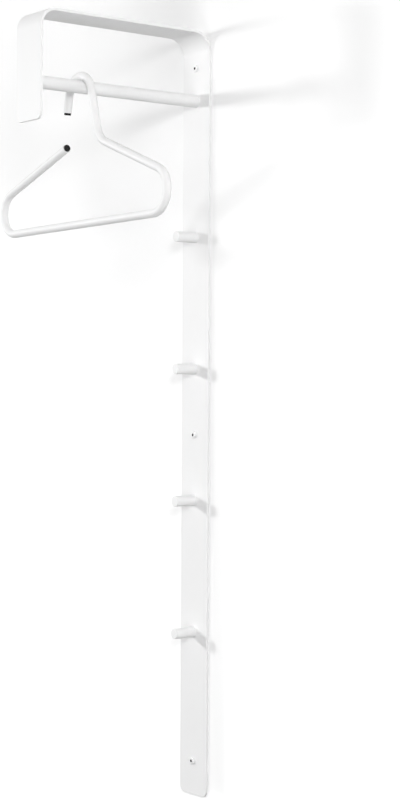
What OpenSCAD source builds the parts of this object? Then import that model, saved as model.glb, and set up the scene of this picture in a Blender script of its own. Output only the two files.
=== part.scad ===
// Wall coat rack. One flat bar runs down the wall. At the top it bends forward into a hat arm and
// bends down again into a short front drop. A round rail for hangers runs from the drop to the
// wall strip, four pegs stand out below it, and one hanger bent from a tube slides on the rail.
// The wall is the plane y = 0, the room is at negative y, and z = 0 is the strip's lower end.

/* [Flat bar] */
// Height from the lower end of the strip to the top of the arm
rack_h = 1150; // [1080:5:1400]
// Width of the flat bar
strip_w = 65; // [50:1:90]
// Thickness of the flat bar
strip_t = 4; // [3.6:0.1:5]
// Reach of the arm from the wall to the outer face of the front drop
arm_reach = 301; // [240:1:380]
// Height of the front drop, from the top of the arm to its lower end
drop_h = 158; // [145:1:200]
// Inner radius of the bend beside the wall
wall_bend_r = 28; // [12:1:34]
// Inner radius of the bend at the front
front_bend_r = 21; // [12:1:34]
// Radius of the rounded corners at both ends of the bar
corner_r = 10; // [4:1:16]

/* [Rail] */
// Outer diameter of the rail's tube
rail_d = 19; // [18:0.5:25]
// Wall of the rail's tube
rail_wall = 1.5; // [1:0.1:2]
// Height from the middle of the rail to the top of the arm
rail_drop = 101; // [85:1:120]
// Length of the boss that carries the rail's front end
boss_len = 12; // [8:1:20]
// Gap all round between the boss and the rail's bore
boss_gap = 0.1; // [0.05:0.05:0.3]
// Length of the plug in the rail's wall end
plug_len = 22; // [16:1:40]
// Interference of the plug in the rail's bore, on the radius
plug_press = 0.02; // [0.01:0.01:0.04]

/* [Pegs] */
// Diameter of a peg
peg_d = 16; // [14:1:20]
// Length that a peg stands out from the strip
peg_len = 37; // [28:1:60]
// Height from the middle of the top peg to the middle of the rail
rail_to_peg = 206; // [150:1:215]
// Height from one peg to the next
peg_pitch = 199; // [150:1:210]
// Radius of the rounded edge at a peg's tip
peg_edge_r = 1; // [0.4:0.1:2]
// Depth of the threaded hole in a peg
peg_hole_depth = 17; // [15:1:24]

/* [Rear screws] */
// Thread diameter of the countersunk screws that hold the pegs and the rail
bolt_d = 6; // [5:0.5:6]
// Head diameter of these screws
bolt_head_d = 11; // [10:0.5:11]
// Length of a peg's screw, from the flat of its head to its end
peg_bolt_len = 16; // [12:1:18]
// Length of the rail's screw, from the flat of its head to its end
rail_bolt_len = 20; // [14:1:22]
// Width across the flats of the hexagon in the head
bolt_key = 4; // [3:0.5:4]
// Depth of the hexagon in the head
bolt_key_depth = 2.2; // [1.5:0.1:2.4]
// Height of the cylindrical rim above the cone of the head
bolt_rim = 0.3; // [0.1:0.1:0.5]
// Gap on the radius between a rear screw and the strip's hole
bolt_clearance = 0.2; // [0.1:0.1:0.4]
// Depth of the head below the back face of the strip
bolt_sunk = 0.1; // [0.1:0.1:0.3]
// Gap on the radius between a screw's thread and its mating thread
thread_gap = 0.05; // [0.02:0.01:0.1]

/* [Wall fixings] */
// Height of the lowest wall screw, and depth of the highest one below the top of the arm
screw_margin = 51; // [48:1:60]
// Thread diameter of a wall screw
screw_d = 5; // [4:0.5:5.5]
// Core diameter of its thread
screw_core_d = 3.4; // [2.6:0.1:3.6]
// Length of a wall screw below its head
screw_len = 50; // [40:1:70]
// Length of the plain neck below the head
screw_neck = 8; // [6:1:12]
// Length of the point
screw_point = 5; // [4:1:8]
// Distance from one thread to the next
screw_pitch = 2.5; // [2:0.5:4]
// Head diameter of a wall screw
screw_head_d = 10.5; // [9:0.5:12]
// Height of the head
screw_head_h = 3.4; // [3:0.1:4]
// Radius of the head's rounded rim
screw_head_r = 1.4; // [0.6:0.1:2]
// Width across the flats of the hexagon in the head
screw_key = 4; // [3:0.5:5]
// Depth of the hexagon in the head
screw_key_depth = 2.2; // [1.5:0.1:2.6]
// Gap on the radius between a wall screw and the strip's hole
screw_clearance = 0.4; // [0.2:0.1:0.6]
// Outer diameter of a wall plug
anchor_d = 8; // [8:0.5:10]
// Length of a wall plug
anchor_len = 40; // [35:1:60]
// Depth that a wall plug is sunk below the wall's surface
anchor_sunk = 2.5; // [2.3:0.1:5]
// Gap on the radius between a wall screw and its plug
anchor_gap = 0.05; // [0.02:0.01:0.1]
// Width of the slots that let a wall plug spread
anchor_slot_w = 1.2; // [0.8:0.1:1.6]
// Length of these slots
anchor_slot_len = 28; // [20:1:32]

/* [Hanger] */
// Outer diameter of the hanger's tube
tube_d = 12; // [10:0.5:14]
// Wall of the hanger's tube
tube_wall = 1.5; // [1:0.1:2]
// Width of the hanger over its rounded ends
hanger_w = 437; // [380:1:480]
// Height of the hanger, from the top of the hook to the underside of the bar
hanger_h = 226; // [215:1:260]
// Radius of the hook, to the middle of the tube
hook_r = 29.5; // [27:0.5:36]
// Angle at which the hook's short leg leans outward
hook_tip_splay = 9.6; // [4:0.1:16]
// Length of the straight part of the hook's short leg
hook_tip_len = 25; // [15:1:35]
// Angle at which the hook's long leg leans outward
hook_leg_splay = 15; // [8:0.5:20]
// Radius of the bend between the long leg and the shoulder, to the middle of the tube
neck_r = 35; // [22:1:40]
// Slope of the shoulder that the hook grows from
right_slope = 21.5; // [19:0.5:24]
// Slope of the shoulder with the free end
left_slope = 18.5; // [16:0.5:22]
// Radius of the rounded ends, to the middle of the tube
end_r = 31.7; // [26:0.1:36]
// Distance from the hanger's middle to the end of the free shoulder
free_end_x = 36.5; // [20:0.5:60]
// Distance from the drop's inner face to the middle of the hanger
hanger_inset = 83.5; // [20:0.5:160]
// Gap between the rail and the hook that rests on it
hook_gap = 0.3; // [0.2:0.1:0.5]
// Tilt at which the hanger hangs
hanger_tilt = 0.75; // [-2:0.25:2]
// Swelling of the tube's bends over its straight runs, on the radius
bend_swell = 0.02; // [0.01:0.01:0.05]
// Diameter of an end cap's flange
cap_d = 10; // [9.5:0.1:10]
// Thickness of an end cap's flange
cap_flange = 3.2; // [1:0.1:5]
// Length of an end cap's shank inside the tube
cap_shank = 9; // [6:1:14]
// Interference of an end cap's shank in the tube, on the radius
cap_press = 0.02; // [0.01:0.01:0.04]
// Diameter of the dimple in an end cap's face
cap_dimple_d = 3.4; // [2:0.1:5]
// Depth of this dimple
cap_dimple = 0.5; // [0.2:0.1:0.8]

/* [Hidden] */
$fn = 64;

eps = 0.01;
// Length that a straight run of the hanger reaches into the bend beside it
bend_lap = 0.5;
paint = "whitesmoke";
steel = "silver";

wall_bend_out = wall_bend_r + strip_t;
front_bend_out = front_bend_r + strip_t;
drop_inner_y = -arm_reach + strip_t;
rail_z = rack_h - rail_drop;
rail_len = arm_reach - 2 * strip_t;
rail_bore_r = rail_d / 2 - rail_wall;

peg_count = 4;
function peg_z(i) = rail_z - rail_to_peg - i * peg_pitch;
wall_screw_z = [screw_margin, (peg_z(1) + peg_z(2)) / 2, rack_h - screw_margin];

hex_corner = 1 / cos(30);
bolt_cone_h = (bolt_head_d - bolt_d) / 2;
screw_thread_len = screw_len - screw_neck - screw_point;
screw_turns = floor(screw_thread_len / screw_pitch);

tube_r = tube_d / 2;
tube_bore_r = tube_r - tube_wall;
hanger_y = drop_inner_y + hanger_inset;
hook_z = rail_z + rail_d / 2 + hook_gap + tube_r - hook_r;

// The hanger's path is laid out in its own x-z plane, from the middle of the hook's bend
bar_z = hook_r + tube_r + tube_r - hanger_h;
end_x = (hanger_w - tube_d) / 2 - end_r;
end_z = bar_z + end_r;

// A point at distance r from the point c, in the direction a
function polar(c, r, a) = [c[0] + r * cos(a), c[1] + r * sin(a)];
// Where the line through p in direction a meets the line through q in direction b
function meet(p, a, q, b) =
    let (k = ((q[0] - p[0]) * sin(b) - (q[1] - p[1]) * cos(b)) / sin(b - a))
    polar(p, k, a);

hook_c = [0, 0];
leg_heading = hook_leg_splay - 90;
tip_heading = 270 - hook_tip_splay;
leg_start = polar(hook_c, hook_r, hook_leg_splay);
tip_start = polar(hook_c, hook_r, 180 - hook_tip_splay);
tip_end = polar(tip_start, hook_tip_len, tip_heading);
right_c = [end_x, end_z];
left_c = [-end_x, end_z];
right_top = polar(right_c, end_r, 90 - right_slope);
left_top = polar(left_c, end_r, 90 + left_slope);
neck_corner = meet(leg_start, leg_heading, right_top, -right_slope);
neck_turn = -right_slope - leg_heading;
neck_cut = neck_r * tan(neck_turn / 2);
leg_end = polar(neck_corner, -neck_cut, leg_heading);
neck_end = polar(neck_corner, neck_cut, -right_slope);
neck_c = polar(leg_end, neck_r, leg_heading + 90);
free_end = [-free_end_x, left_top[1] + (-free_end_x - left_top[0]) * tan(left_slope)];

// Lays a shape drawn along +z so that it points into the wall from the height z
module into_wall(z, y = 0) {
    translate([0, y, z]) rotate([-90, 0, 0]) children();
}

// Lays a shape drawn along +z so that it points out into the room from the height z
module into_room(z, y = 0) {
    translate([0, y, z]) rotate([90, 0, 0]) children();
}

// Outline of one end of the flat bar: its two lower corners are rounded
module bar_end(h) {
    translate([-strip_w / 2, corner_r]) square([strip_w, h - corner_r]);
    translate([-strip_w / 2 + corner_r, 0]) square([strip_w - 2 * corner_r, corner_r]);
    for (side = [-1, 1])
        translate([side * (strip_w / 2 - corner_r), corner_r]) circle(corner_r);
}

// A quarter bend of the bar about a line along x, from the direction a to a + 90
module bar_bend(inner_r, y, z, a) {
    translate([0, y, z]) rotate([90, 0, 90]) rotate([0, 0, a])
        rotate_extrude(angle = 90)
            translate([inner_r, -strip_w / 2]) square([strip_t, strip_w]);
}

// Hole and countersink for a rear screw
module bolt_hole(z) {
    into_room(z, eps) cylinder(h = strip_t + 2 * eps, r = bolt_d / 2 + bolt_clearance);
    into_room(z, 0)
        cylinder(h = bolt_cone_h, r1 = bolt_head_d / 2 + bolt_clearance,
                 r2 = bolt_d / 2 + bolt_clearance);
}

module strip_frame() {
    color(paint) difference() {
        union() {
            into_room(0) linear_extrude(strip_t) bar_end(rack_h - wall_bend_out);
            bar_bend(wall_bend_r, -wall_bend_out, rack_h - wall_bend_out, 0);
            translate([-strip_w / 2, -arm_reach + front_bend_out, rack_h - strip_t])
                cube([strip_w, arm_reach - wall_bend_out - front_bend_out, strip_t]);
            bar_bend(front_bend_r, -arm_reach + front_bend_out, rack_h - front_bend_out, 90);
            into_room(rack_h - drop_h, drop_inner_y)
                linear_extrude(strip_t) bar_end(drop_h - front_bend_out);
        }
        for (z = wall_screw_z)
            into_room(z, eps)
                cylinder(h = strip_t + 2 * eps, r = screw_d / 2 + screw_clearance);
        for (i = [0:peg_count - 1]) bolt_hole(peg_z(i));
        bolt_hole(rail_z);
    }
}

module rail() {
    color(paint) into_room(rail_z, -strip_t) difference() {
        cylinder(h = rail_len, d = rail_d);
        translate([0, 0, -eps]) cylinder(h = rail_len + 2 * eps, r = rail_bore_r);
    }
}

module rail_front_boss() {
    color(steel) into_wall(rail_z, drop_inner_y) cylinder(h = boss_len, r = rail_bore_r - boss_gap);
}

module rail_rear_plug() {
    color(steel) into_room(rail_z, -strip_t) difference() {
        cylinder(h = plug_len, r = rail_bore_r + plug_press);
        translate([0, 0, -eps])
            cylinder(h = plug_len + 2 * eps, r = bolt_d / 2 + thread_gap);
    }
}

// Countersunk screw with a hexagon socket, entered from behind the strip
module rear_screw(z, len) {
    color(steel) into_room(z, -bolt_sunk) difference() {
        union() {
            cylinder(h = bolt_rim, d = bolt_head_d - 2 * bolt_rim);
            translate([0, 0, bolt_rim])
                cylinder(h = bolt_cone_h - bolt_rim, d1 = bolt_head_d - 2 * bolt_rim, d2 = bolt_d);
            cylinder(h = len, d = bolt_d);
        }
        translate([0, 0, -eps])
            cylinder(h = bolt_key_depth + eps, d = bolt_key * hex_corner, $fn = 6);
    }
}

module rail_screw() {
    rear_screw(rail_z, rail_bolt_len);
}

module peg_screws() {
    for (i = [0:peg_count - 1]) rear_screw(peg_z(i), peg_bolt_len);
}

// Half outline of a peg from its axis outward, with the rounded edge at the tip
module peg_outline() {
    square([peg_d / 2, peg_len - peg_edge_r]);
    square([peg_d / 2 - peg_edge_r, peg_len]);
    translate([peg_d / 2 - peg_edge_r, peg_len - peg_edge_r])
        intersection() { circle(peg_edge_r); square(peg_edge_r); }
}

module peg(i) {
    color(paint) into_room(peg_z(i), -strip_t) difference() {
        rotate_extrude() peg_outline();
        translate([0, 0, -eps])
            cylinder(h = peg_hole_depth + eps, r = bolt_d / 2 + thread_gap);
    }
}

module peg_1() { peg(0); }
module peg_2() { peg(1); }
module peg_3() { peg(2); }
module peg_4() { peg(3); }

// Half outline of a wall screw's pan head
module pan_head_outline() {
    square([screw_head_d / 2, screw_head_h - screw_head_r]);
    square([screw_head_d / 2 - screw_head_r, screw_head_h]);
    translate([screw_head_d / 2 - screw_head_r, screw_head_h - screw_head_r])
        intersection() { circle(screw_head_r); square(screw_head_r); }
}

// Half outline of a wall screw's shank: plain neck, ridged thread and point
module shank_outline() {
    core = screw_core_d / 2;
    crest = screw_d / 2;
    ridges = [for (i = [0:screw_turns - 1]) let (z = screw_neck + i * screw_pitch)
                  each [[core, z], [crest, z + screw_pitch / 2], [core, z + screw_pitch]]];
    thread_end = screw_neck + screw_turns * screw_pitch;
    polygon(concat([[0, 0], [crest, 0], [crest, screw_neck]], ridges,
                   [[core, thread_end + eps], [0, screw_len]]));
}

module wall_screws() {
    color(paint) for (z = wall_screw_z) {
        difference() {
            union() {
                into_room(z, -strip_t) rotate_extrude() pan_head_outline();
                into_wall(z, -strip_t) rotate_extrude() shank_outline();
            }
            into_wall(z, -strip_t - screw_head_h - eps)
                cylinder(h = screw_key_depth + eps, d = screw_key * hex_corner, $fn = 6);
        }
    }
}

module wall_plugs() {
    slot_y = anchor_sunk + anchor_len - anchor_slot_len;
    color("gainsboro") for (z = wall_screw_z) difference() {
        into_wall(z, anchor_sunk) cylinder(h = anchor_len, d = anchor_d);
        into_wall(z, anchor_sunk - eps)
            cylinder(h = anchor_len + 2 * eps, r = screw_d / 2 + anchor_gap);
        translate([-anchor_slot_w / 2, slot_y, z - anchor_d])
            cube([anchor_slot_w, anchor_slot_len + eps, 2 * anchor_d]);
    }
}

// A straight run of round bar in the hanger's plane, from p in the direction a. It starts before
// p and ends after its length, by the two last values.
module run(p, a, len, r, before, after) {
    start = polar(p, -before, a);
    translate([start[0], 0, start[1]]) rotate([0, 90 - a, 0])
        cylinder(h = before + len + after, r = r);
}

// A bend of round bar about the point c, from the direction a over the angle turn
module bend(c, bend_r, a, turn, r) {
    translate([c[0], 0, c[1]]) rotate([90, 0, 0]) rotate([0, 0, a])
        rotate_extrude(angle = turn) translate([bend_r, 0]) circle(r + bend_swell);
}

// The hanger's whole path as round bar of radius r, longer by extra at both open ends
module hanger_path(r, extra) {
    run(tip_end, tip_heading + 180, hook_tip_len, r, extra, bend_lap);
    bend(hook_c, hook_r, hook_leg_splay, 180 - hook_tip_splay - hook_leg_splay, r);
    run(leg_start, leg_heading, norm(leg_end - leg_start), r, bend_lap, bend_lap);
    bend(neck_c, neck_r, leg_heading - 90, neck_turn, r);
    run(neck_end, -right_slope, norm(right_top - neck_end), r, bend_lap, bend_lap);
    bend(right_c, end_r, -90, 180 - right_slope, r);
    run([-end_x, bar_z], 0, 2 * end_x, r, bend_lap, bend_lap);
    bend(left_c, end_r, 90 + left_slope, 180 - left_slope, r);
    run(left_top, left_slope, norm(free_end - left_top), r, bend_lap, extra);
}

// Sets the hanger on the rail, tilted about the middle of its hook
module hang() {
    translate([0, hanger_y, hook_z]) rotate([0, -hanger_tilt, 0]) children();
}

module hanger_tube() {
    color(paint) hang() difference() {
        hanger_path(tube_r, 0);
        hanger_path(tube_bore_r, eps);
    }
}

// Push-in cap with its flange on the tube's end at p, facing in the direction a
module end_cap(p, a) {
    color("black") hang() translate([p[0], 0, p[1]]) rotate([0, 90 - a, 0]) difference() {
        union() {
            cylinder(h = cap_flange, d = cap_d);
            translate([0, 0, -cap_shank])
                cylinder(h = cap_shank + eps, r = tube_bore_r + cap_press);
        }
        translate([0, 0, cap_flange - cap_dimple])
            cylinder(h = cap_dimple + eps, d = cap_dimple_d);
    }
}

module hook_end_cap() { end_cap(tip_end, tip_heading); }
module shoulder_end_cap() { end_cap(free_end, left_slope); }

strip_frame();
rail();
rail_front_boss();
rail_rear_plug();
rail_screw();
peg_1();
peg_2();
peg_3();
peg_4();
peg_screws();
wall_screws();
wall_plugs();
hanger_tube();
hook_end_cap();
shoulder_end_cap();
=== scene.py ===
# %% [markdown]
# A wall coat rack, made step by step. The rack is one flat steel bar that is screwed to the wall,
# bends forward at the top into a short arm and bends down again in front. A round rail for hangers
# runs under the arm, four pegs stand out below it, and one hanger bent from a tube is on the rail.
# Everything is white, on a white wall, so the shapes are told by thin edges, soft shadows and the
# slight gloss of the paint. The lesson first loads the engineering model as a fixed frame. Its
# solids say where each piece goes, and nothing here moves them.

# %% Load the frame
from math import cos, floor, hypot, pi, radians, sin, tan

import bmesh
import bpy
from mathutils import Matrix, Vector


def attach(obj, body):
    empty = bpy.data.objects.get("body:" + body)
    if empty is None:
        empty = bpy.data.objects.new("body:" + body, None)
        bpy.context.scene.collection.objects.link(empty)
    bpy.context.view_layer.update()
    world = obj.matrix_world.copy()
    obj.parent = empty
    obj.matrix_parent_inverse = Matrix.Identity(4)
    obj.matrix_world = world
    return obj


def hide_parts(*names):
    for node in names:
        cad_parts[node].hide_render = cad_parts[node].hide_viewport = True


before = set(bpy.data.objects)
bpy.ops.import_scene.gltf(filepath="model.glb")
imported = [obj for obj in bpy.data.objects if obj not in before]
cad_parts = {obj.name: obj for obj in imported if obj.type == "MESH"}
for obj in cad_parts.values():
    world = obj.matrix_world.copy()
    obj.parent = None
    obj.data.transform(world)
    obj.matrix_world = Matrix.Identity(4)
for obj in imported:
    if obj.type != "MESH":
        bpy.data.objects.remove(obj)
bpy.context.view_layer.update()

MM_PER_M = 1000


# %% [markdown]
# The camera comes first, because every later choice is judged through it. The photograph was taken
# level, from well to the right of the rack, with a long lens. A camera was fitted to the rack's
# corners, pegs and hanger, and it gives a distance of 2.7 m, a focal length in pixels and a small
# roll. The lens is set from that length and the picture's height. The photograph's horizon lies a
# little above the picture's middle. That is a small shift of the lens, which keeps uprights
# upright, where tilting the camera would make them lean.

# %% Camera
IMAGE_H = 812
FOCAL_PX = 1780.9
HORIZON_PX = 387.65
SENSOR_MM = 36
CAMERA_PLACE = (2.15534, -1.62534, 0.61599)
CAMERA_TURN, LEVEL, CAMERA_ROLL = radians(52.876), radians(90), radians(0.303)

camera_data = bpy.data.cameras.new("photo_camera")
camera_data.sensor_fit = "VERTICAL"
camera_data.sensor_height = SENSOR_MM
camera_data.lens = FOCAL_PX / IMAGE_H * SENSOR_MM
camera_data.shift_y = (HORIZON_PX - IMAGE_H / 2) / IMAGE_H
camera = bpy.data.objects.new("photo_camera", camera_data)
bpy.context.scene.collection.objects.link(camera)
bpy.context.scene.camera = camera
camera.matrix_world = (Matrix.Translation(CAMERA_PLACE)
                       @ Matrix.Rotation(CAMERA_TURN, 4, "Z")
                       @ Matrix.Rotation(LEVEL, 4, "X")
                       @ Matrix.Rotation(CAMERA_ROLL, 4, "Z"))
print("lens:", round(camera_data.lens, 2), "mm, shift:", round(camera_data.shift_y, 4))

# %% [markdown]
# Materials come before the meshes, so that each piece can be given its finish as it is made. A
# finish here is a small tree of nodes. Effects that several finishes share are node groups: a group
# is built once, has named sockets, and each material sets its own values on it. All textures are
# laid in object coordinates. Every object sits at the origin, so these are metres, and a grain of a
# given size keeps that size on a peg and on the long bar alike.

# %% Helpers for node trees
def new_group(name, inputs, outputs):
    """An empty shader node group with named sockets, and its two end nodes."""
    group = bpy.data.node_groups.new(name, "ShaderNodeTree")
    for label, value in inputs:
        kind = "NodeSocketColor" if isinstance(value, tuple) else "NodeSocketFloat"
        group.interface.new_socket(label, in_out="INPUT", socket_type=kind).default_value = value
    for label, kind in outputs:
        group.interface.new_socket(label, in_out="OUTPUT", socket_type=kind)
    return group, group.nodes.new("NodeGroupInput"), group.nodes.new("NodeGroupOutput")


def feed(tree, socket, value):
    """Gives a socket a plain value, or links another node's output to it."""
    if isinstance(value, bpy.types.NodeSocket):
        tree.links.new(value, socket)
    else:
        socket.default_value = value


def add_node(tree, kind, **values):
    """Adds a node. Each value feeds the input of that name, or sets a property of the node."""
    node = tree.nodes.new(kind)
    for key, value in values.items():
        label = key.replace("_", " ")
        if label in node.inputs:
            feed(tree, node.inputs[label], value)
        else:
            setattr(node, key, value)
    return node


def math_node(tree, operation, a, b, c=0.0):
    """A Math node. Each operand is a number or another node's output."""
    node = add_node(tree, "ShaderNodeMath", operation=operation)
    for socket, value in zip(node.inputs, (a, b, c)):
        feed(tree, socket, value)
    return node.outputs[0]


print("tree helpers:", [tool.__name__ for tool in (new_group, feed, add_node, math_node)])

# %% [markdown]
# Powder coat is paint that is blown on as dry powder and melted in an oven. It comes out thick and
# even, with a faint orange peel: soft hills about a millimetre across and a few microns high. Over
# larger areas the film's thickness wanders, so its tone and gloss do too, by a percent or so. The
# group makes these two things with noise at two scales. The hills leave it as a height, for a Bump
# node in the material.

# %% Node group for a sprayed or moulded skin
NOISE_MIDDLE = 0.5
skin_group, g_in, g_out = new_group(
    "skin", [("Color", (0.8, 0.8, 0.8, 1)), ("Tone Change", 0.03), ("Roughness", 0.4),
             ("Gloss Change", 0.08), ("Peel Scale", 900.0), ("Cloud Scale", 14.0)],
    [("Color", "NodeSocketColor"), ("Roughness", "NodeSocketFloat"), ("Height", "NodeSocketFloat")])
g_place = add_node(skin_group, "ShaderNodeTexCoord").outputs["Object"]
g_clouds = add_node(skin_group, "ShaderNodeTexNoise", Vector=g_place,
                    Scale=g_in.outputs["Cloud Scale"], Detail=3.0, Roughness=0.55)
g_hills = add_node(skin_group, "ShaderNodeTexNoise", Vector=g_place,
                   Scale=g_in.outputs["Peel Scale"], Detail=2.0, Roughness=0.45)
g_wander = math_node(skin_group, "SUBTRACT", g_clouds.outputs["Fac"], NOISE_MIDDLE)
g_tone = math_node(skin_group, "MULTIPLY_ADD", g_wander, g_in.outputs["Tone Change"], 1.0)
g_tinted = add_node(skin_group, "ShaderNodeVectorMath", operation="SCALE", Scale=g_tone)
feed(skin_group, g_tinted.inputs[0], g_in.outputs["Color"])
g_rough = math_node(skin_group, "MULTIPLY_ADD", g_wander, g_in.outputs["Gloss Change"],
                    g_in.outputs["Roughness"])
feed(skin_group, g_out.inputs["Color"], g_tinted.outputs[0])
feed(skin_group, g_out.inputs["Roughness"], g_rough)
feed(skin_group, g_out.inputs["Height"], g_hills.outputs["Fac"])
print("group skin:", len(skin_group.nodes), "nodes")

# %% [markdown]
# Paint draws back from a sharp edge while it melts, so the film is thinner there, and handling rubs
# it first. Cycles can tell a raised edge from a flat by a mesh's pointiness, which is measured at
# the vertices. The small rounds that are modelled along every edge give it vertices to measure, so
# no texture has to be painted by hand. The group turns it into a mask that noise breaks up, and
# mixes the edge's colour in by that mask. A Mix node has several sockets of one name, so its colour
# sockets are picked by their numbers.

# %% Node group for rubbed edges
EDGE_FROM, EDGE_TO = 0.515, 0.6
MIX_COLOR_A, MIX_COLOR_B, MIX_COLOR_OUT = 6, 7, 2
edge_group, g_in, g_out = new_group(
    "rubbed_edge", [("Color", (0.8, 0.8, 0.8, 1)), ("Edge Color", (0.6, 0.6, 0.6, 1)),
                    ("Amount", 0.3), ("Patch Scale", 120.0)],
    [("Color", "NodeSocketColor")])
g_range = add_node(edge_group, "ShaderNodeMapRange", From_Min=EDGE_FROM, From_Max=EDGE_TO,
                   Value=add_node(edge_group, "ShaderNodeNewGeometry").outputs["Pointiness"])
g_patch = add_node(edge_group, "ShaderNodeTexNoise", Detail=2.0,
                   Vector=add_node(edge_group, "ShaderNodeTexCoord").outputs["Object"],
                   Scale=g_in.outputs["Patch Scale"])
g_broken = math_node(edge_group, "MULTIPLY", g_range.outputs["Result"], g_patch.outputs["Fac"])
g_mask = math_node(edge_group, "MULTIPLY", g_broken, g_in.outputs["Amount"])
g_mix = add_node(edge_group, "ShaderNodeMix", data_type="RGBA", Factor=g_mask)
feed(edge_group, g_mix.inputs[MIX_COLOR_A], g_in.outputs["Color"])
feed(edge_group, g_mix.inputs[MIX_COLOR_B], g_in.outputs["Edge Color"])
feed(edge_group, g_out.inputs["Color"], g_mix.outputs[MIX_COLOR_OUT])
print("group rubbed_edge:", len(edge_group.nodes), "nodes")

# %% [markdown]
# A finish joins the two groups to a Principled shader. The shader itself and its plain settings
# stay in the material, where a reader finds them and an exporter can read them. The function takes
# what differs from one finish to the next.

# %% Function for a finish
def finish_of(name, color, edge_color, roughness, bump_mm, peel_scale, **shader_values):
    """A material from the two groups. bump_mm is the height of the skin's hills."""
    material = bpy.data.materials.new(name)
    material.use_nodes = True
    tree = material.node_tree
    shader = tree.nodes["Principled BSDF"]
    skin = add_node(tree, "ShaderNodeGroup", node_tree=skin_group, Color=(*color, 1),
                    Roughness=roughness, Peel_Scale=peel_scale)
    edge = add_node(tree, "ShaderNodeGroup", node_tree=edge_group, Color=skin.outputs["Color"],
                    Edge_Color=(*edge_color, 1))
    bump = add_node(tree, "ShaderNodeBump", Distance=bump_mm / MM_PER_M,
                    Height=skin.outputs["Height"])
    links = {"Base_Color": edge.outputs["Color"], "Roughness": skin.outputs["Roughness"],
             "Normal": bump.outputs["Normal"]}
    for key, value in (links | shader_values).items():
        feed(tree, shader.inputs[key.replace("_", " ")], value)
    return material


print("a finish uses the groups", skin_group.name, "and", edge_group.name)

# %% [markdown]
# The white is a neutral one, and just under what a real white paint gives back, so that it never
# clips. The bar's coat is nearly matt: its sheen is so weak and broad that the long strip's tone
# changes slowly from end to end. The hanger's coat is a little greyer and glossier, which shows as
# a soft light line along the tube. The screws behind the bar are zinc plated steel, a metal with a
# rough reflection. The wall plugs are pale nylon, which light enters a little, so they get some
# subsurface scattering. The end caps are a deep black plastic with a dull shine. The sockets of
# the wall screws are coloured near black, which is painted shade for their deep recess.

# %% The finishes
white_paint = finish_of("white_powder_coat", (0.884, 0.884, 0.884), (0.80, 0.80, 0.80),
                        roughness=0.52, bump_mm=0.02, peel_scale=700,
                        Specular_IOR_Level=0.2)
hanger_paint = finish_of("white_tube_coat", (0.844, 0.844, 0.844), (0.78, 0.78, 0.78),
                         roughness=0.46, bump_mm=0.015, peel_scale=900,
                         Specular_IOR_Level=0.3)
zinc_steel = finish_of("zinc_plated_steel", (0.56, 0.56, 0.55), (0.74, 0.74, 0.73),
                       roughness=0.32, bump_mm=0.01, peel_scale=2500, Metallic=1.0)
nylon = finish_of("pale_nylon", (0.66, 0.65, 0.61), (0.72, 0.71, 0.68), roughness=0.45,
                  bump_mm=0.01, peel_scale=1500, Subsurface_Weight=0.2, Subsurface_Scale=0.002)
black_plastic = finish_of("black_cap_plastic", (0.005, 0.005, 0.005), (0.012, 0.012, 0.012),
                          roughness=0.42, bump_mm=0.015, peel_scale=2200,
                          Specular_IOR_Level=0.2)
# Near black for the screw sockets: painted shade for the deep recess.
recess_painted_shade = finish_of("painted_socket_shade", (0.05, 0.05, 0.05), (0.09, 0.09, 0.09),
                        roughness=0.5, bump_mm=0.01, peel_scale=2500)
print("finishes:", [finish.name for finish in (white_paint, hanger_paint, zinc_steel, nylon,
                                               black_plastic, recess_painted_shade)])

# %% [markdown]
# Each mesh below comes as a list of points and a list of faces. One function turns them into an
# object, with all faces turned outward. Large flats must stay flat beside small rounds, and the
# rounds must look smooth. So all faces are smooth shaded, edges sharper than a set angle stay
# sharp, and a Weighted Normal modifier lets the large faces rule their own corners. Holes are cut
# with a Boolean before that. Modifiers are then applied, so the object holds only its final mesh.

# %% Functions for a finished piece
SHARP_FROM = 40


def object_of(name, points, faces):
    """An object from points and faces, with the faces turned outward."""
    mesh = bpy.data.meshes.new(name)
    mesh.from_pydata([tuple(p) for p in points], [], faces)
    work = bmesh.new()
    work.from_mesh(mesh)
    bmesh.ops.recalc_face_normals(work, faces=work.faces)
    work.to_mesh(mesh)
    work.free()
    thing = bpy.data.objects.new(name, mesh)
    bpy.context.scene.collection.objects.link(thing)
    return thing


def settle(piece):
    """Applies all modifiers of a piece to its mesh."""
    solid = bpy.data.meshes.new_from_object(
        piece.evaluated_get(bpy.context.evaluated_depsgraph_get()))
    piece.modifiers.clear()
    piece.data = solid


def make_piece(name, points, faces, materials, body, slot, *nodes, cutter=None):
    """An object that rides on a body and stands for the named nodes of the frame."""
    piece = object_of(name, points, faces)
    for material in materials:
        piece.data.materials.append(material)
    if cutter:
        cut = piece.modifiers.new("holes", "BOOLEAN")
        cut.object, cut.operation, cut.solver = cutter, "DIFFERENCE", "EXACT"
        settle(piece)
        bpy.data.objects.remove(cutter)
    piece.data.shade_smooth()
    piece.data.set_sharp_from_angle(angle=radians(SHARP_FROM))
    weigh = piece.modifiers.new("weigh", "WEIGHTED_NORMAL")
    weigh.keep_sharp = True
    settle(piece)
    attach(piece, body)
    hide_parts(*nodes)
    print(name, "faces:", len(piece.data.polygons), "size mm:",
          [round(v * MM_PER_M, 1) for v in piece.dimensions])
    return piece


print("edges stay sharp from", SHARP_FROM, "degrees")

# %% [markdown]
# The bar and the hanger are both made by bending something straight, so both follow a path of
# straight runs and arcs. The path is described the way a bender would: go straight for a length,
# then turn by an angle at a radius. A function walks along it and gives, for any distance from its
# start, the place and the heading. That is exact at every distance, which a curve object through a
# few points is not.

# %% Walking along a bent path
ARC_STEP = radians(3)
SAME_PLACE_DIGITS = 7


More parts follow.
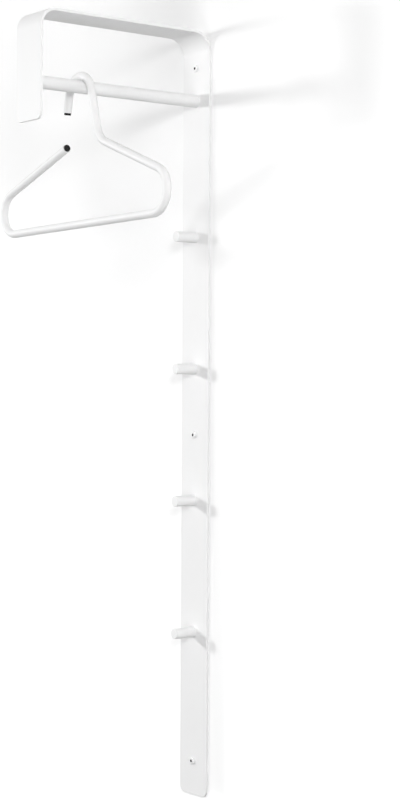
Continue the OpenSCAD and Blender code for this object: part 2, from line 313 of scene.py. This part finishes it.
def walk(start, heading, moves):
    """Legs of a path, each (distance at its start, point, heading, length, radius or None).

    moves holds (length,) for a run and (radius, turn) for an arc, and a turn to the right is
    negative. Angles are in radians, points in the path's own plane."""
    legs, at, x, z = [], 0.0, *start
    for move in moves:
        if len(move) == 1:
            length = move[0]
            legs.append((at, (x, z), heading, length, None))
            x, z = x + length * cos(heading), z + length * sin(heading)
        else:
            radius, turn = move[0], move[1]
            length = radius * abs(turn)
            signed = radius if turn > 0 else -radius
            legs.append((at, (x, z), heading, length, signed))
            x += signed * (sin(heading + turn) - sin(heading))
            z -= signed * (cos(heading + turn) - cos(heading))
            heading += turn
        at += length
    return legs


def place_on(legs, distance):
    """Point and heading at a distance along the path. It runs on straight past both ends."""
    leg = legs[0]
    for other in legs:
        if other[0] <= distance:
            leg = other
    at, (x, z), heading, length, signed = leg
    gone = distance - at
    if signed is None:
        return x + gone * cos(heading), z + gone * sin(heading), heading
    turned = heading + gone / signed
    return (x + signed * (sin(turned) - sin(heading)),
            z - signed * (cos(turned) - cos(heading)), turned)


def stops_on(legs, step):
    """Distances at which a mesh needs a ring: the ends of runs, and every step inside arcs.

    They are rounded, so that the end of one leg and the start of the next give one ring."""
    stops = []
    for at, _, _, length, signed in legs:
        count = 1 if signed is None else max(1, round(length / abs(signed) / step))
        stops += [at + length * k / count for k in range(count + 1)]
    return sorted(set(round(s, SAME_PLACE_DIGITS) for s in stops))


print("a quarter bend gets", round(radians(90) / ARC_STEP), "steps")

# %% [markdown]
# The flat bar was cut from strip steel, its ends were rounded, and then it was bent twice. It is
# built in that order too. First comes the flat blank as a grid of points that know their distance
# along the blank, their place across it and their place through its thickness. All its edges get a
# round of 0.6 mm, where the real paint has one. Then every point is moved onto the bent path, and
# faces are laid between one ring of points and the next. A bevel after bending would work too, but
# it makes uneven faces where the rounded ends meet the edges.

# %% The bar's path and edge
BAR_W, BAR_T = 0.065, 0.004
RACK_H, ARM_REACH, DROP_H = 1.15, 0.301, 0.158
WALL_BEND_R, FRONT_BEND_R = 0.028, 0.021
END_R, EDGE_R = 0.010, 0.0006
mid_wall, mid_front = WALL_BEND_R + BAR_T / 2, FRONT_BEND_R + BAR_T / 2
bar_legs = walk((-BAR_T / 2, 0.0), pi / 2, [
    (RACK_H - WALL_BEND_R - BAR_T,), (mid_wall, pi / 2),
    (ARM_REACH - WALL_BEND_R - FRONT_BEND_R - 2 * BAR_T,), (mid_front, pi / 2),
    (DROP_H - FRONT_BEND_R - BAR_T,)])
bar_length = bar_legs[-1][0] + bar_legs[-1][3]
print("blank:", round(bar_length * MM_PER_M, 1), "mm long before it was bent")

# %% The bar's mesh
EDGE_STEPS, CORNER_STEPS = 4, 8


def edge_chain():
    """The rounded edge as (inset from the side, height over the middle), outer face to inner."""
    half = [(EDGE_R * (1 - sin(radians(90) * j / EDGE_STEPS)),
             BAR_T / 2 - EDGE_R * (1 - cos(radians(90) * j / EDGE_STEPS)))
            for j in range(EDGE_STEPS + 1)]
    return half + [(inset, -over) for inset, over in reversed(half)]


def blank_rings():
    """Rings round the flat blank. Each point is (across, along, over the middle)."""
    chain = edge_chain()

    def ring(spot):
        right = [(*spot(inset), over) for inset, over in chain]
        return right + [(-x, s, over) for x, s, over in reversed(right)]

    rings = []
    for k in range(CORNER_STEPS + 1):
        turn = radians(90) * k / CORNER_STEPS
        rings.append(ring(lambda inset: (BAR_W / 2 - END_R + (END_R - inset) * sin(turn),
                                         END_R - (END_R - inset) * cos(turn))))
    for stop in stops_on(bar_legs, ARC_STEP):
        if END_R < stop < bar_length - END_R:
            rings.append(ring(lambda inset: (BAR_W / 2 - inset, stop)))
    mirrored = [[(x, bar_length - s, over) for x, s, over in r]
                for r in reversed(rings[:CORNER_STEPS + 1])]
    return rings + mirrored


def bend_blank(point):
    """Moves a point of the blank onto the bar's bent path."""
    across, along, over = point
    y, z, heading = place_on(bar_legs, along)
    return across, y + over * sin(heading), z - over * cos(heading)


def skin_rings(rings, loop=False):
    """Points and faces over rings of points.

    A ring of a single point closes the skin there. A loop joins the last ring to the first."""
    points, faces, starts = [], [], []
    for ring in rings:
        starts.append(len(points))
        points += ring
    around = max(len(ring) for ring in rings)
    for low in range(len(rings) if loop else len(rings) - 1):
        high = (low + 1) % len(rings)
        a, b = starts[low], starts[high]
        for i in range(around):
            j = (i + 1) % around
            if len(rings[low]) == 1:
                faces.append((a, b + j, b + i))
            elif len(rings[high]) == 1:
                faces.append((a + i, a + j, b))
            else:
                faces.append((a + i, a + j, b + j, b + i))
    return points, faces


def bar_mesh():
    """Points and faces of the bent bar. Its ends are closed across, from edge to edge."""
    rings = [[bend_blank(point) for point in ring] for ring in blank_rings()]
    points, faces = skin_rings(rings)
    around = len(rings[0])
    last = len(points) - around
    for i in range(around // 2 - 1):
        faces.append((i, around - 1 - i, around - 2 - i, i + 1))
        faces.append((last + i, last + i + 1, last + around - 2 - i, last + around - 1 - i))
    return points, faces


bar_points, bar_faces = bar_mesh()
print("bar points:", len(bar_points))

# %% [markdown]
# Turned parts, such as caps, screws and plugs, are stacks of rings along an axis. One function
# makes them all. Where a ring's radius is a number it is a circle. Where it is a function of the
# angle it can be a hexagon or a turn of thread, so a socket and a screw thread need nothing more. A
# stack that begins or ends at radius zero closes there, and a stack that is marked as a loop joins
# its last ring to its first, as a tube with a bore does.

# %% Stacks of rings
AROUND = 48


def stack(rings, origin, axis, loop=False):
    """Points and faces of rings, each (radius or function of the angle, height along axis)."""
    turn = Vector((0, 0, 1)).rotation_difference(Vector(axis)).to_matrix()

    def ring_of(radius, height):
        closed = not callable(radius) and radius == 0
        ring = []
        for i in range(1 if closed else AROUND):
            angle = 2 * pi * i / AROUND
            r = radius(angle) if callable(radius) else radius
            ring.append(Vector(origin) + turn @ Vector((r * cos(angle), r * sin(angle), height)))
        return ring

    return skin_rings([ring_of(radius, height) for radius, height in rings], loop)


def together(parts):
    """Joins several lots of points and faces into one."""
    points, faces = [], []
    for more_points, more_faces in parts:
        base = len(points)
        points += more_points
        faces += [tuple(base + i for i in face) for face in more_faces]
    return points, faces


print("a turned ring has", AROUND, "points")

# %% [markdown]
# Eight holes go through the bar: three for the wall screws, and five for the countersunk screws
# that come from behind and hold the rail and the pegs. From the room they are all covered, but from
# behind they show. They are cut with one Boolean, which does it exactly. The cutter is a set of
# turned plugs, longer than the bar is thick. The countersinks' cones run on past the bar's back, so
# that no point of the cutter lies in a face of the bar, which would leave slivers there.

# %% Holes and the finished bar
TOP_PEG_Z, PEG_STEP, PEG_COUNT = 0.843, 0.199, 4
PEG_Z = [TOP_PEG_Z - PEG_STEP * i for i in range(PEG_COUNT)]
RAIL_Z = 1.049
WALL_SCREW_Z = [0.051, 0.5445, 1.099]
BOLT_HOLE_R, SINK_R, SINK_H = 0.0032, 0.0057, 0.0025
WALL_HOLE_R, PAST = 0.0029, 0.001
ROOM = (0, -1, 0)

sink_wide = SINK_R + (SINK_R - BOLT_HOLE_R) / SINK_H * PAST
bolt_cut = [(0, -PAST), (sink_wide, -PAST), (BOLT_HOLE_R, SINK_H),
            (BOLT_HOLE_R, BAR_T + PAST), (0, BAR_T + PAST)]
wall_cut = [(0, -PAST), (WALL_HOLE_R, -PAST), (WALL_HOLE_R, BAR_T + PAST), (0, BAR_T + PAST)]
cut_points, cut_faces = together(
    [stack(bolt_cut, (0, 0, z), ROOM) for z in PEG_Z + [RAIL_Z]]
    + [stack(wall_cut, (0, 0, z), ROOM) for z in WALL_SCREW_Z])
make_piece("bent_flat_bar", bar_points, bar_faces, [white_paint], "rack", "white_paint",
           "strip_frame", cutter=object_of("bar_cutter", cut_points, cut_faces))

# %% [markdown]
# The rail and the pegs are plain turned forms, and the engineering model already has their true
# shapes, with the rounded rim at each peg's tip. So these nodes stay and only take the paint. The
# same goes for the countersunk screws, the boss and the plug inside the rail, which take the zinc
# finish. Keeping a node that is right is better than copying it.

# %% Paint and zinc on the kept nodes
def give(material, *nodes):
    """Puts a material in every slot of the frame's own objects."""
    for name in nodes:
        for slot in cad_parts[name].material_slots:
            slot.material = material


give(white_paint, "rail", "peg_1", "peg_2", "peg_3", "peg_4")
give(zinc_steel, "rail_front_boss", "rail_rear_plug", "rail_screw", "peg_screws")

# %% [markdown]
# The wall screws have low round heads, painted like the bar, with a hexagon socket that reads as
# a dark dot. Below the head come a plain neck, a real spiral thread and a point. The thread is one
# surface: the radius at a place depends on the height along the screw and on the angle round it,
# so the ridge climbs by one pitch each turn. All three screws are one mesh, and its faces are told
# apart by place: the socket's floor and walls get a near-black colour, which is painted shade for
# the deep recess, and all below the head is zinc.

# %% A wall screw as a stack
HEAD_R, HEAD_H, HEAD_ROUND = 0.00525, 0.0034, 0.0014
KEY_ACROSS, KEY_DEPTH, KEY_RIM = 0.004, 0.0022, 0.0002
CREST_R, CORE_R = 0.0025, 0.0017
NECK, SCREW_LEN, POINT, PITCH = 0.008, 0.050, 0.005, 0.0025
POINT_R, SOCKET_REACH = CORE_R * 0.9, KEY_ACROSS * 0.6
HEAD_STEPS, STEPS_PER_TURN = 6, 8
SOCKET_PAINTED_SHADE, ZINC_FINISH = 1, 2


def hexagon(across):
    """Radius of a hexagon by angle, from the width across its flats."""
    return lambda angle: across / 2 / cos((angle + pi / 6) % (pi / 3) - pi / 6)


def thread(height, fade):
    """Radius of the thread by angle at a height. fade brings the ridge down to the core."""
    def radius(angle):
        phase = ((height - NECK) / PITCH - angle / (2 * pi)) % 1
        return CORE_R + (CREST_R - CORE_R) * fade * (1 - abs(2 * phase - 1))
    return radius


def wall_screw_rings():
    """Rings from the bottom of the socket over the head and down to the point."""
    rings = [(0, -HEAD_H + KEY_DEPTH + 2 * KEY_RIM), (hexagon(KEY_ACROSS), -HEAD_H + KEY_DEPTH),
             (hexagon(KEY_ACROSS), -HEAD_H + KEY_RIM),
             (hexagon(KEY_ACROSS + 2 * KEY_RIM), -HEAD_H), (HEAD_R - HEAD_ROUND, -HEAD_H)]
    for k in range(1, HEAD_STEPS + 1):
        turn = radians(90) * k / HEAD_STEPS
        rings.append((HEAD_R - HEAD_ROUND * (1 - sin(turn)),
                      -HEAD_H + HEAD_ROUND * (1 - cos(turn))))
    rings += [(HEAD_R, 0), (CREST_R, 0), (CREST_R, NECK - PITCH / 2)]
    turns = floor((SCREW_LEN - NECK - POINT) / PITCH)
    for k in range(turns * STEPS_PER_TURN + 1):
        height = NECK + PITCH * k / STEPS_PER_TURN
        fade = min(1.0, k / STEPS_PER_TURN, (turns * STEPS_PER_TURN - k) / STEPS_PER_TURN)
        rings.append((thread(height, fade), height))
    return rings + [(POINT_R, SCREW_LEN - POINT), (0, SCREW_LEN)]


screw_rings = wall_screw_rings()
screw_points, screw_faces = together(
    [stack(screw_rings, (0, -BAR_T, z), (0, 1, 0)) for z in WALL_SCREW_Z])
wall_screws = make_piece("wall_screw_set", screw_points, screw_faces,
                         [white_paint, recess_painted_shade, zinc_steel], "rack", "white_paint",
                         "wall_screws")
rim_y = -BAR_T - HEAD_H + KEY_RIM / 2
for face in wall_screws.data.polygons:
    spot = face.center
    from_axis = min(hypot(spot.x, spot.z - z) for z in WALL_SCREW_Z)
    if spot.y > -BAR_T + PAST / 2:
        face.material_index = ZINC_FINISH
    elif spot.y > rim_y and from_axis < SOCKET_REACH:
        face.material_index = SOCKET_PAINTED_SHADE

# %% [markdown]
# Each screw sits in a nylon wall plug. The plug is a tube with barbs round it, so that it holds in
# the drilled hole, and a slot along most of its length lets it spread. The barbs come from a saw
# shaped outline, and the slot is cut with a Boolean.

# %% Wall plugs
PLUG_R, PLUG_BORE_R, PLUG_FROM, PLUG_LEN = 0.004, 0.00255, 0.0025, 0.040
SLOT_W, SLOT_LEN, BARB, BARB_DEPTH = 0.0012, 0.028, 0.004, 0.0004
BARB_STEP = BARB / 8


def plug_rings():
    """A loop of rings: up the barbed outside and back down the bore."""
    rings = [(PLUG_R - BARB_DEPTH, 0), (PLUG_R, BARB_DEPTH), (PLUG_R, BARB)]
    barbs = round((PLUG_LEN - 2 * BARB) / BARB)
    for k in range(barbs):
        low = BARB * (k + 1)
        rings += [(PLUG_R - BARB_DEPTH, low + BARB_STEP), (PLUG_R, low + BARB)]
    return rings + [(PLUG_R - BARB_DEPTH, PLUG_LEN), (PLUG_BORE_R + BARB_DEPTH, PLUG_LEN),
                    (PLUG_BORE_R, PLUG_LEN - BARB_DEPTH), (PLUG_BORE_R, 0)]


def block(low, high):
    """Points and faces of a block, for cutting."""
    points = [(x, y, z) for x in (low[0], high[0]) for y in (low[1], high[1])
              for z in (low[2], high[2])]
    faces = [(0, 1, 3, 2), (4, 6, 7, 5), (0, 4, 5, 1), (2, 3, 7, 6), (0, 2, 6, 4), (1, 5, 7, 3)]
    return points, faces


plug_points, plug_faces = together(
    [stack(plug_rings(), (0, PLUG_FROM, z), (0, 1, 0), loop=True) for z in WALL_SCREW_Z])
plug_end = PLUG_FROM + PLUG_LEN
slot_points, slot_faces = together(
    [block((-SLOT_W / 2, plug_end - SLOT_LEN, z - 2 * PLUG_R),
           (SLOT_W / 2, plug_end + PAST, z + 2 * PLUG_R)) for z in WALL_SCREW_Z])
make_piece("wall_plug_set", plug_points, plug_faces, [nylon], "rack", "nylon", "wall_plugs",
           cutter=object_of("plug_cutter", slot_points, slot_faces))

# %% [markdown]
# The hanger is one tube, bent four times in one plane: hook, neck, right end, left end. Its path
# starts at the tip of the hook. The corner between the hook's long leg and the shoulder is found by
# crossing two lines, as on a drawing, and the bend is laid into it. The hanger hangs tilted by
# three quarters of a degree, as the photograph shows.

# %% The hanger's path
TUBE_R, BORE_R = 0.006, 0.0045
HANGER_W, HANGER_H = 0.437, 0.226
HOOK_R, NECK_R, TURN_R = 0.0295, 0.035, 0.0317
TIP_SPLAY, TIP_LEN, LEG_SPLAY = radians(9.6), 0.025, radians(15)
RIGHT_SLOPE, LEFT_SLOPE = radians(21.5), radians(18.5)
FREE_END_X, TILT = 0.0365, radians(0.75)
FROM_DROP = 0.0835
HANGER_Y = -ARM_REACH + BAR_T + FROM_DROP
HOOK_GAP, RAIL_R = 0.0003, 0.0095
HOOK_Z = RAIL_Z + RAIL_R + HOOK_GAP + TUBE_R - HOOK_R


def polar(centre, radius, angle):
    """The point at a distance and direction from another."""
    return centre[0] + radius * cos(angle), centre[1] + radius * sin(angle)


def crossing(p, a, q, b):
    """Where the line through p in direction a meets the line through q in direction b."""
    along = ((q[0] - p[0]) * sin(b) - (q[1] - p[1]) * cos(b)) / sin(b - a)
    return polar(p, along, a)


def distance(p, q):
    """How far two points of the drawing are apart."""
    return hypot(q[0] - p[0], q[1] - p[1])


bar_low = HOOK_R + 2 * TUBE_R - HANGER_H
turn_x = HANGER_W / 2 - TUBE_R - TURN_R
leg_heading = LEG_SPLAY - pi / 2
tip_top = polar((0, 0), HOOK_R, pi - TIP_SPLAY)
tip_end = polar(tip_top, TIP_LEN, 3 * pi / 2 - TIP_SPLAY)
leg_top = polar((0, 0), HOOK_R, LEG_SPLAY)
right_top = polar((turn_x, bar_low + TURN_R), TURN_R, pi / 2 - RIGHT_SLOPE)
left_top = polar((-turn_x, bar_low + TURN_R), TURN_R, pi / 2 + LEFT_SLOPE)
neck = crossing(leg_top, leg_heading, right_top, -RIGHT_SLOPE)
neck_turn = -RIGHT_SLOPE - leg_heading
neck_cut = NECK_R * tan(neck_turn / 2)
hanger_legs = walk(tip_end, pi / 2 - TIP_SPLAY, [
    (TIP_LEN,), (HOOK_R, TIP_SPLAY + LEG_SPLAY - pi),
    (distance(leg_top, neck) - neck_cut,), (NECK_R, neck_turn),
    (distance(neck, right_top) - neck_cut,), (TURN_R, RIGHT_SLOPE - pi),
    (2 * turn_x,), (TURN_R, LEFT_SLOPE - pi), ((-FREE_END_X - left_top[0]) / cos(LEFT_SLOPE),)])
tube_length = hanger_legs[-1][0] + hanger_legs[-1][3]
print("tube:", round(tube_length * MM_PER_M), "mm from end to end")

# %% [markdown]
# The tube is swept along that path: a ring of points every three degrees of a bend, and only at the
# ends of a straight run. Because the path lies in one plane, every ring can be built from the
# heading and the plane's own normal, and the sweep never twists. Both ends show the tube's cut
# wall, so the mesh turns over a small round at the rim and runs back down the bore to where the cap
# sits. A curve object with a bevel depth would give the tube in one line, but no rims.

# %% The hanger's tube
RIM, BORE_SEEN = 0.0003, 0.011


def hang(x, y, z):
    """A place of the hanger's plane in the room: x across, y off the plane, z up, all tilted."""
    return Vector((x * cos(TILT) - z * sin(TILT), HANGER_Y + y,
                   HOOK_Z + x * sin(TILT) + z * cos(TILT)))


def tube_ring(along, radius):
    """Ring of points round the hanger's path, or one point where the radius is zero."""
    x, z, heading = place_on(hanger_legs, along)
    if radius == 0:
        return [hang(x, 0, z)]
    return [hang(x - radius * cos(a) * sin(heading), radius * sin(a),
                 z + radius * cos(a) * cos(heading))
            for a in (2 * pi * i / AROUND for i in range(AROUND))]


rim = [(BORE_SEEN, 0), (BORE_SEEN, BORE_R), (RIM, BORE_R), (RIM / 4, BORE_R + RIM / 4),
       (0, BORE_R + RIM), (0, TUBE_R - RIM), (RIM / 4, TUBE_R - RIM / 4), (RIM, TUBE_R)]
middle = [(s, TUBE_R) for s in stops_on(hanger_legs, ARC_STEP) if RIM < s < tube_length - RIM]
tube_profile = rim + middle + [(tube_length - s, r) for s, r in reversed(rim)]
hanger_points, hanger_faces = skin_rings([tube_ring(s, r) for s, r in tube_profile])
make_piece("hanger_bent_tube", hanger_points, hanger_faces, [hanger_paint], "hanger",
           "white_paint", "hanger_tube")

# %% [markdown]
# Two small black caps close the tube's ends. Each is a turned part with a rounded rim, a shallow
# dimple where it was moulded, and a shank that is pressed into the bore. In the photograph they are
# the only dark things, so their size matters: they are a little narrower than the tube.

# %% End caps
CAP_R, CAP_FLANGE, CAP_SHANK, CAP_ROUND = 0.005, 0.0032, 0.009, 0.0006
DIMPLE_R, DIMPLE_DEPTH = 0.0017, 0.0005
DIMPLE_OUTLINE = ((0, 1), (0.6, 0.9), (1, 0.2), (1.2, 0))
CAP_STEPS = 5


def cap_rings():
    """From the middle of the dimple over the rim and down the shank."""
    rings = [(DIMPLE_R * across, CAP_FLANGE - DIMPLE_DEPTH * down)
             for across, down in DIMPLE_OUTLINE]
    for k in range(CAP_STEPS + 1):
        turn = radians(90) * k / CAP_STEPS
        rings.append((CAP_R - CAP_ROUND * (1 - sin(turn)),
                      CAP_FLANGE - CAP_ROUND * (1 - cos(turn))))
    return rings + [(CAP_R, 0), (BORE_R, 0), (BORE_R, -CAP_SHANK), (0, -CAP_SHANK)]


def make_cap(name, node, along, outward):
    """A cap on the tube's end at a distance along its path. outward is -1 at its start."""
    x, z, heading = place_on(hanger_legs, along)
    axis = hang(x + outward * cos(heading), 0, z + outward * sin(heading)) - hang(x, 0, z)
    cap_points, cap_faces = stack(cap_rings(), hang(x, 0, z), axis)
    make_piece(name, cap_points, cap_faces, [black_plastic], "hanger", "black_plastic", node)


make_cap("hook_cap", "hook_end_cap", 0, -1)
make_cap("shoulder_cap", "shoulder_end_cap", tube_length, 1)

# %% [markdown]
# The white of the wall and the floor comes partly from a little light of its own, which only the
# camera and reflections see, by Light Path: a painted light. So the lamps stay at a plain level,
# and the rack's shadows stay visible. This lift changes slowly over the wall, as the white of the
# photographed wall does. Sideways it grows towards the right and the far left, and brightens the
# faint cast shadows there with painted light. It is weaker round the arm, so the soft shadows
# there stay darker. It is weakest in a narrow band along the bar's right edge, which paints a soft
# shadow along that edge. Colour ramps over the place give it. The whites are matt and clear from
# behind, by Geometry's Backfacing, so that the rack can be looked at from all sides. Far from the
# rack they fade out for the camera, and no edge of the stage shows against the white room.

# %% A white for the stage
STAGE_MIDDLE, CLEAR_FROM, CLEAR_TO = (0, 0, 0.6), 1.2, 2.0
NO_LIFT, NO_LIMIT = ((0, 0), (1, 0)), ((0, 1), (1, 1))


def blend_over(tree, value, spots):
    """A grey that changes with a value, through (value, level) pairs in rising order."""
    low, span = spots[0][0], spots[-1][0] - spots[0][0]
    part = math_node(tree, "DIVIDE", math_node(tree, "SUBTRACT", value, low), span)
    ramp = add_node(tree, "ShaderNodeValToRGB", Fac=part)
    stops = ramp.color_ramp.elements
    stops.remove(stops[1])
    for stop, (spot, level) in zip([stops[0]] + [stops.new(1) for _ in spots[1:]], spots):
        stop.position, stop.color = (spot - low) / span, (level, level, level, 1)
    return ramp.outputs["Color"]


def shown_rays(tree):
    """1 for the camera's rays and for those that gloss or glass sends on, and 0 for the rest."""
    path = add_node(tree, "ShaderNodeLightPath").outputs
    shown = math_node(tree, "MAXIMUM", path["Is Camera Ray"], path["Is Glossy Ray"])
    return math_node(tree, "MAXIMUM", shown, path["Is Transmission Ray"])


def stage_white(name, color, lift_z, lift_x=NO_LIFT, limit_x=NO_LIMIT, limit_z=NO_LIMIT,
                window=False):
    """A matt white for the stage, lifted for the camera and for reflections alone.

    Two lifts, over the height and sideways, are added. Their sum stays under the higher of two
    limits, sideways and over the height. A window is clear to all rays but the camera's."""
    material = bpy.data.materials.new(name)
    material.use_nodes = True
    tree = material.node_tree
    tree.nodes.remove(tree.nodes["Principled BSDF"])
    place = add_node(tree, "ShaderNodeTexCoord").outputs["Object"]
    at = add_node(tree, "ShaderNodeSeparateXYZ", Vector=place).outputs
    lift = math_node(tree, "ADD", blend_over(tree, at["Z"], lift_z),
                     blend_over(tree, at["X"], lift_x))
    limit = math_node(tree, "MAXIMUM", blend_over(tree, at["X"], limit_x),
                      blend_over(tree, at["Z"], limit_z))
    lift = math_node(tree, "MINIMUM", lift, limit)
    matt = add_node(tree, "ShaderNodeBsdfDiffuse", Color=(*color, 1))
    glow = add_node(tree, "ShaderNodeEmission",
                    Strength=math_node(tree, "MULTIPLY", shown_rays(tree), lift))
    both = add_node(tree, "ShaderNodeAddShader")
    for socket, shader in zip(both.inputs, (matt, glow)):
        feed(tree, socket, shader.outputs[0])

    camera_ray = add_node(tree, "ShaderNodeLightPath").outputs["Is Camera Ray"]
    apart = add_node(tree, "ShaderNodeVectorMath", operation="DISTANCE")
    for socket, spot in zip(apart.inputs, (place, STAGE_MIDDLE)):
        feed(tree, socket, spot)
    far = add_node(tree, "ShaderNodeMapRange", interpolation_type="SMOOTHSTEP",
                   Value=apart.outputs["Value"], From_Min=CLEAR_FROM, From_Max=CLEAR_TO)
    clear = math_node(tree, "MULTIPLY", camera_ray, far.outputs["Result"])
    behind = add_node(tree, "ShaderNodeNewGeometry").outputs["Backfacing"]
    clear = math_node(tree, "MAXIMUM", behind, clear)
    if window:
        clear = math_node(tree, "MAXIMUM", clear, math_node(tree, "SUBTRACT", 1.0, camera_ray))
    nothing = add_node(tree, "ShaderNodeBsdfTransparent")
    pick = add_node(tree, "ShaderNodeMixShader")
    for socket, source in zip(pick.inputs, (clear, both.outputs[0], nothing.outputs[0])):
        feed(tree, socket, source)
    feed(tree, tree.nodes["Material Output"].inputs["Surface"], pick.outputs[0])
    return material


print("the stage fades out", CLEAR_FROM, "to", CLEAR_TO, "m away from the rack")

# %% [markdown]
# The stage itself is a wall and a floor, each a flat sheet with its front to the camera. The wall
# stands a fraction of a millimetre behind the bar. The piece of it right behind the bar is a sheet
# of its own, a window: to the camera it is wall, but all other rays pass through, so lamps behind
# the wall reach the bar's whole back. The floor gives back little of the lamps' light, because the
# arm's underside is the darkest white in the picture, and its lift makes it pale again for the
# camera.

# %% Wall and floor
WALL_Y, WALL_HALF, WALL_TOP, FLOOR_Z, FLOOR_OUT = 0.0002, 3.0, 2.8, -0.6, 4.0
WALL_COLOR, FLOOR_COLOR = (0.84, 0.84, 0.84), (0.10, 0.10, 0.10)
FLOOR_LIFT = ((0, 0.76), (1, 0.76))
# The lift is painted light. limit_x dips just right of the bar's edge, painting a soft shadow along
# it.
WALL_LIFT = {
    "lift_z": ((0.2, 0.30), (0.8, 0.18), (1.05, 0.11), (1.2, 0.11), (1.6, 0.30)),
    "lift_x": ((-0.35, 0.06), (-0.18, 0.0), (-0.02, 0.0), (0.2, 0.1)),
    "limit_x": ((-0.03, 0.5), (0.033, 0.13), (0.04, 0.09), (0.05, 0.16), (0.07, 0.19), (0.12, 0.5)),
    "limit_z": ((-0.02, 0.5), (0.02, 0.17), (0.36, 0.14), (0.5, 0.0), (1.06, 0.0), (1.14, 0.5))}


def stage_sheet(name, points, faces, material):
    """A flat sheet of the stage. It has its front where its faces run anticlockwise."""
    mesh = bpy.data.meshes.new(name)
    mesh.from_pydata(points, [], faces)
    mesh.materials.append(material)
    sheet = bpy.data.objects.new(name, mesh)
    bpy.context.scene.collection.objects.link(sheet)
    print(name, "faces", [round(v) for v in mesh.polygons[0].normal])


def rectangle(low_u, low_v, high_u, high_v):
    """Corners of a rectangle, anticlockwise from the low one."""
    return [(low_u, low_v), (high_u, low_v), (high_u, high_v), (low_u, high_v)]


wall_outer = rectangle(-WALL_HALF, FLOOR_Z, WALL_HALF, WALL_TOP)
bar_shape = rectangle(-BAR_W / 2, 0, BAR_W / 2, RACK_H)
floor_shape = rectangle(-WALL_HALF, -FLOOR_OUT, WALL_HALF, FLOOR_OUT)
stage_sheet("wall", [(u, WALL_Y, v) for u, v in wall_outer + bar_shape],
            [(i, (i + 1) % 4, 4 + (i + 1) % 4, 4 + i) for i in range(4)],
            stage_white("wall_white", WALL_COLOR, **WALL_LIFT))
stage_sheet("wall_window", [(u, WALL_Y, v) for u, v in bar_shape], [(0, 1, 2, 3)],
            stage_white("wall_window_white", WALL_COLOR, **WALL_LIFT, window=True))
stage_sheet("floor", [(u, v, FLOOR_Z) for u, v in floor_shape], [(0, 1, 2, 3)],
            stage_white("floor_white", FLOOR_COLOR, FLOOR_LIFT))

# %% [markdown]
# The shadows in the photograph say where its lamps were. A small one stands on the left, a little
# above the rail and about 45 degrees off the rack's front. It throws the clear shadows of the pegs,
# which fall steeper the lower a peg is. The one on the right is softer and further to the side. It
# lights the bar's edge and throws the soft shadows on the wall to the left. A weak lamp high on the
# right adds the faint long shadow under the arm, and a large low one in front keeps the lower end
# from going dark. Each lamp was first rendered alone, and the strengths were then set so that their
# sum gives the tones of the picture. Two more lamps stand behind the wall and light only the back.

# %% Lamps
def lamp(name, place, aim, size, watts):
    """A round area lamp that looks at a point. Its disc is size metres across."""
    data = bpy.data.lights.new(name, "AREA")
    data.shape, data.size, data.energy = "DISK", size, watts
    thing = bpy.data.objects.new(name, data)
    bpy.context.scene.collection.objects.link(thing)
    look = (Vector(aim) - Vector(place)).to_track_quat("-Z", "Y")
    thing.matrix_world = Matrix.Translation(place) @ look.to_matrix().to_4x4()
    print(name, "gives", watts, "W from", round(Vector(place).length, 1), "m away")


lamp("small_lamp_left", place=(-2.1, -2.0, 1.17), aim=(0, 0, -1.5), size=0.4, watts=40.5)
lamp("soft_lamp_right", place=(2.3, -1.5, 1.25), aim=(0, 0, -0.4), size=0.55, watts=32)
lamp("weak_lamp_high_right", place=(1.82, -2.05, 2.61), aim=(0, 0, 0.7), size=0.8, watts=5)
lamp("fill_lamp_low", place=(0.9, -3.0, -0.05), aim=(0, 0, -0.2), size=1.3, watts=22)
lamp("soft_lamp_behind_left", place=(-1.0, 2.2, 1.4), aim=(0, 0, 0.6), size=1.2, watts=20)
lamp("soft_lamp_behind_right", place=(1.4, 2.0, 0.5), aim=(0, 0, 0.5), size=1.0, watts=9)

# %% [markdown]
# The world gives the even light of a pale room. It is brighter at eye level and below than it is
# above, so upright faces are lighter than the arm's top. The camera, gloss and glass see it as
# plain white, by the same helper as the stage. The view transform is Standard, so a colour renders
# about as it is written.

# %% World and view
ROOM_LEVEL, ROOM_ABOVE = 0.46, 0.28
FADE_FROM, FADE_TO = 0.25, 0.6

world = bpy.data.worlds.new("pale_room")
bpy.context.scene.world = world
world.use_nodes = True
room = world.node_tree
way = add_node(room, "ShaderNodeTexCoord").outputs["Generated"]
way_up = add_node(room, "ShaderNodeSeparateXYZ", Vector=way).outputs["Z"]
room_fade = add_node(room, "ShaderNodeMapRange", interpolation_type="SMOOTHSTEP", Value=way_up,
                     From_Min=FADE_FROM, From_Max=FADE_TO, To_Min=ROOM_LEVEL, To_Max=ROOM_ABOVE)
room_light = room.nodes["Background"]
room_light.inputs["Color"].default_value = (1, 1, 1, 1)
feed(room, room_light.inputs["Strength"],
     math_node(room, "MAXIMUM", shown_rays(room), room_fade.outputs["Result"]))
bpy.context.scene.view_settings.view_transform = "Standard"
print("room light:", ROOM_LEVEL, "at eye level,", ROOM_ABOVE, "above")
